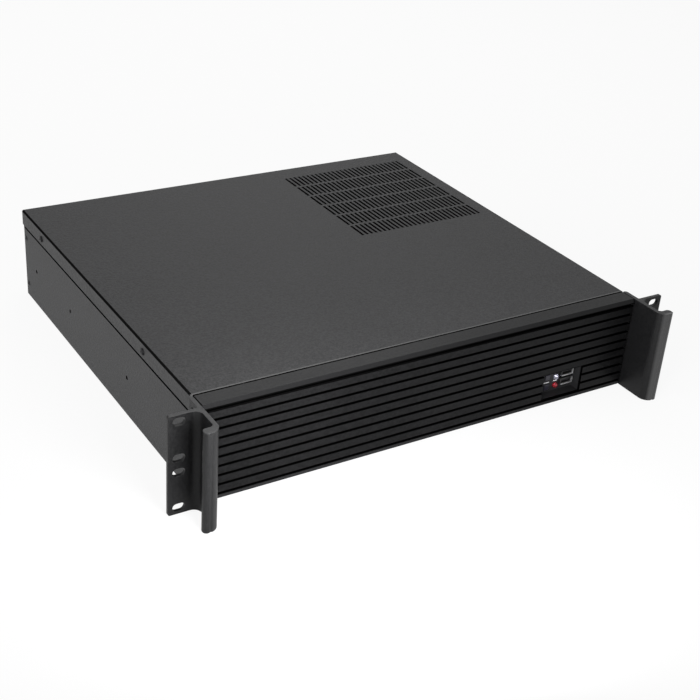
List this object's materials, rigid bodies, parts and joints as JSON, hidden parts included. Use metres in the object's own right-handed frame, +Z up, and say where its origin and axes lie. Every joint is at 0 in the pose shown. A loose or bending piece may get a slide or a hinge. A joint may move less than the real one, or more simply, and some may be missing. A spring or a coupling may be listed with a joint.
{
  "type": "empty rackmount server case",
  "caption": "Shallow steel equipment case for a rack, with a ribbed front panel, slotted rack ears on curled extruded handles, a vented lid and a recessed control window.",
  "frame": {"origin": "middle of the outer box in X and Y, on the underside of the floor", "axes": "+X to the right seen from the front, +Y from the front panel towards the rear panel, +Z up"},
  "size_m": [0.4826, 0.426, 0.088],
  "materials": {
    "powder_coat": "fine-textured dark grey powder coat",
    "panel_anodised": "satin black anodised",
    "handle_anodised": "satin black anodised",
    "zinc": "zinc-plated sheet",
    "black_screw": "black oxide",
    "bright_screw": "zinc-plated",
    "brass_pillar": "turned",
    "housing_plastic": "fine grain",
    "button_plastic": "satin",
    "switch_plastic": "matte",
    "clear_lamp": "clear lens",
    "red_lamp": "tinted lens",
    "socket_metal": "tin-plated",
    "socket_plastic": "moulded",
    "board_laminate": "solder mask",
    "filter_mesh": "fine black nylon weave"
  },
  "bodies": {
    "case": {"base_tray": "powder_coat", "top_cover": "powder_coat", "front_panel": "panel_anodised", "handle_left": "handle_anodised", "handle_right": "handle_anodised", "handle_screws": "black_screw", "cover_screws": "black_screw", "front_bulkhead": "powder_coat", "rear_panel": "powder_coat", "slot_blanks": "zinc", "blank_screws": "bright_screw", "wall_rivets": "black_screw", "cross_brace": "zinc", "drive_cage": "zinc", "cage_screws": "bright_screw", "supply_stop": "zinc", "board_standoffs": "brass_pillar", "control_housing": "housing_plastic", "housing_screws": "bright_screw", "control_board": "board_laminate", "board_spacers": "brass_pillar", "board_screws": "bright_screw", "switch_bodies": "switch_plastic", "power_lamp": "clear_lamp", "drive_lamp": "red_lamp", "socket_shells": "socket_metal", "socket_tongues": "socket_plastic", "vent_filter": "filter_mesh"},
    "power_key": {"power_button": "button_plastic"},
    "reset_key": {"reset_button": "button_plastic"}
  },
  "joints": [
    {"name": "power_press", "type": "slide", "parent": "case", "child": "power_key", "axis": [0, 1, 0], "range_m": [0, 0.001], "stiffness_N_per_m": 800, "springref_m": -0.0003},
    {"name": "reset_press", "type": "slide", "parent": "case", "child": "reset_key", "axis": [0, 1, 0], "range_m": [0, 0.001], "stiffness_N_per_m": 800, "springref_m": -0.0003}
  ]
}
